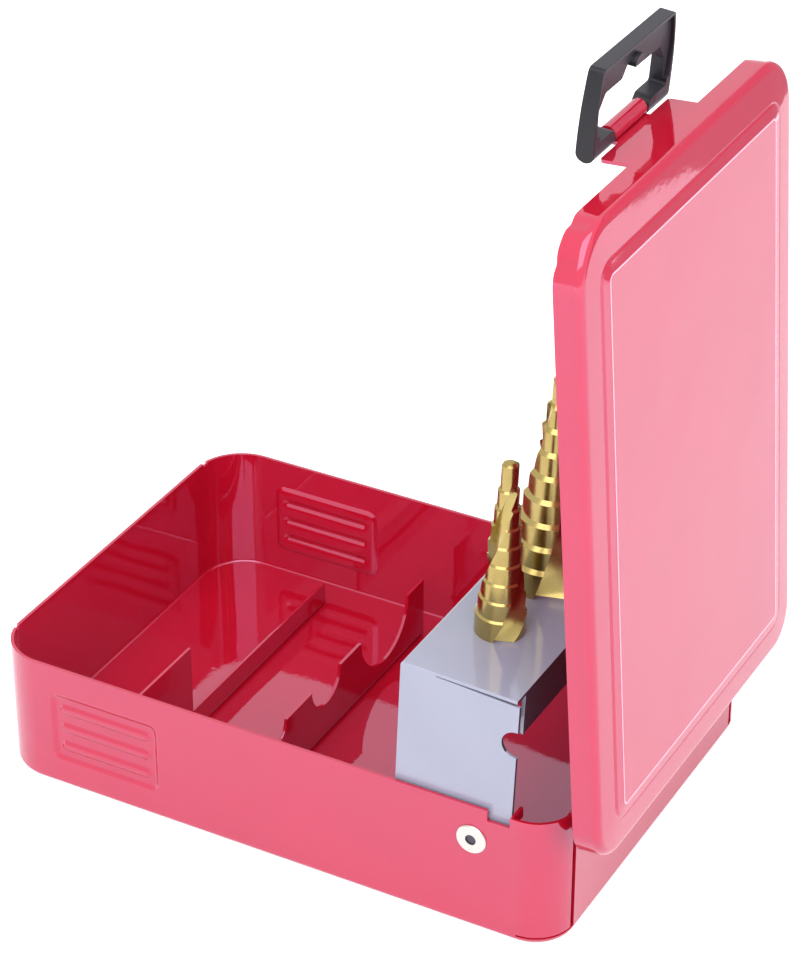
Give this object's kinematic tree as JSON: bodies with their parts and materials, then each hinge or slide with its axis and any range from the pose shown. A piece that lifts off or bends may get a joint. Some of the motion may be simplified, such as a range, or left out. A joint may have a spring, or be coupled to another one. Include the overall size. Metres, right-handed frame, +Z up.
{
  "type": "step drill index case",
  "caption": "Hinged sheet-steel index case, shown open: tilting holder with stepped drills, stop and cradle plates in the tray, lid with a folding latch handle.",
  "frame": {"origin": "middle of the flat underside of the tray, between its outer faces", "axes": "+Z up; +X from the latch end to the hinge end; +Y to the left of a user who faces the latch"},
  "size_m": [0.1704, 0.1112, 0.205],
  "materials": {
    "red_enamel": "gloss red stoving enamel on sheet steel",
    "grey_enamel": "satin blue-grey enamel on sheet steel",
    "gold_coated_steel": "ground tool steel with a gold titanium nitride coat",
    "black_plastic": "moulded dark grey-black plastic",
    "bright_steel": "bright drawn steel",
    "plated_steel": "plated tubular rivet"
  },
  "bodies": {
    "tray": {"tray": "red_enamel", "stop_plate": "red_enamel", "cradle_plate": "red_enamel", "latch_catch": "red_enamel", "hinge_pin": "bright_steel", "rivet_right": "plated_steel", "rivet_left": "plated_steel", "washer_right": "bright_steel", "washer_left": "bright_steel"},
    "lid": {"lid": "red_enamel"},
    "handle": {"latch_handle": "black_plastic"},
    "holder": {"drill_holder": "grey_enamel"},
    "small_drill": {"drill_small": "gold_coated_steel"},
    "medium_drill": {"drill_medium": "gold_coated_steel"},
    "large_drill": {"drill_large": "gold_coated_steel"}
  },
  "joints": [
    {"name": "lid_hinge", "type": "hinge", "parent": "tray", "child": "lid", "pos_m": [0.0754, 0, 0.0292], "axis": [0, 1, 0], "range_deg": [-86.26, 0]},
    {"name": "holder_pivot", "type": "hinge", "parent": "tray", "child": "holder", "pos_m": [0.0557, 0, 0.0257], "axis": [0, 1, 0], "range_deg": [-92.51, 0]},
    {"name": "handle_pivot", "type": "hinge", "parent": "lid", "child": "handle", "pos_m": [0.06169, 0, 0.18524], "axis": [0, 1, 0], "range_deg": [-98.74, 45]},
    {"name": "small_drill_slide", "type": "slide", "parent": "holder", "child": "small_drill", "axis": [0.0436, 0, 0.999], "range_m": [0, 0.0195]},
    {"name": "medium_drill_slide", "type": "slide", "parent": "holder", "child": "medium_drill", "axis": [0.0436, 0, 0.999], "range_m": [0, 0.021]},
    {"name": "large_drill_slide", "type": "slide", "parent": "holder", "child": "large_drill", "axis": [0.0436, 0, 0.999], "range_m": [0, 0.024]}
  ],
  "couplings": [
    {"joint": "holder_pivot", "follows": "lid_hinge", "ratio": 1.0723}
  ]
}
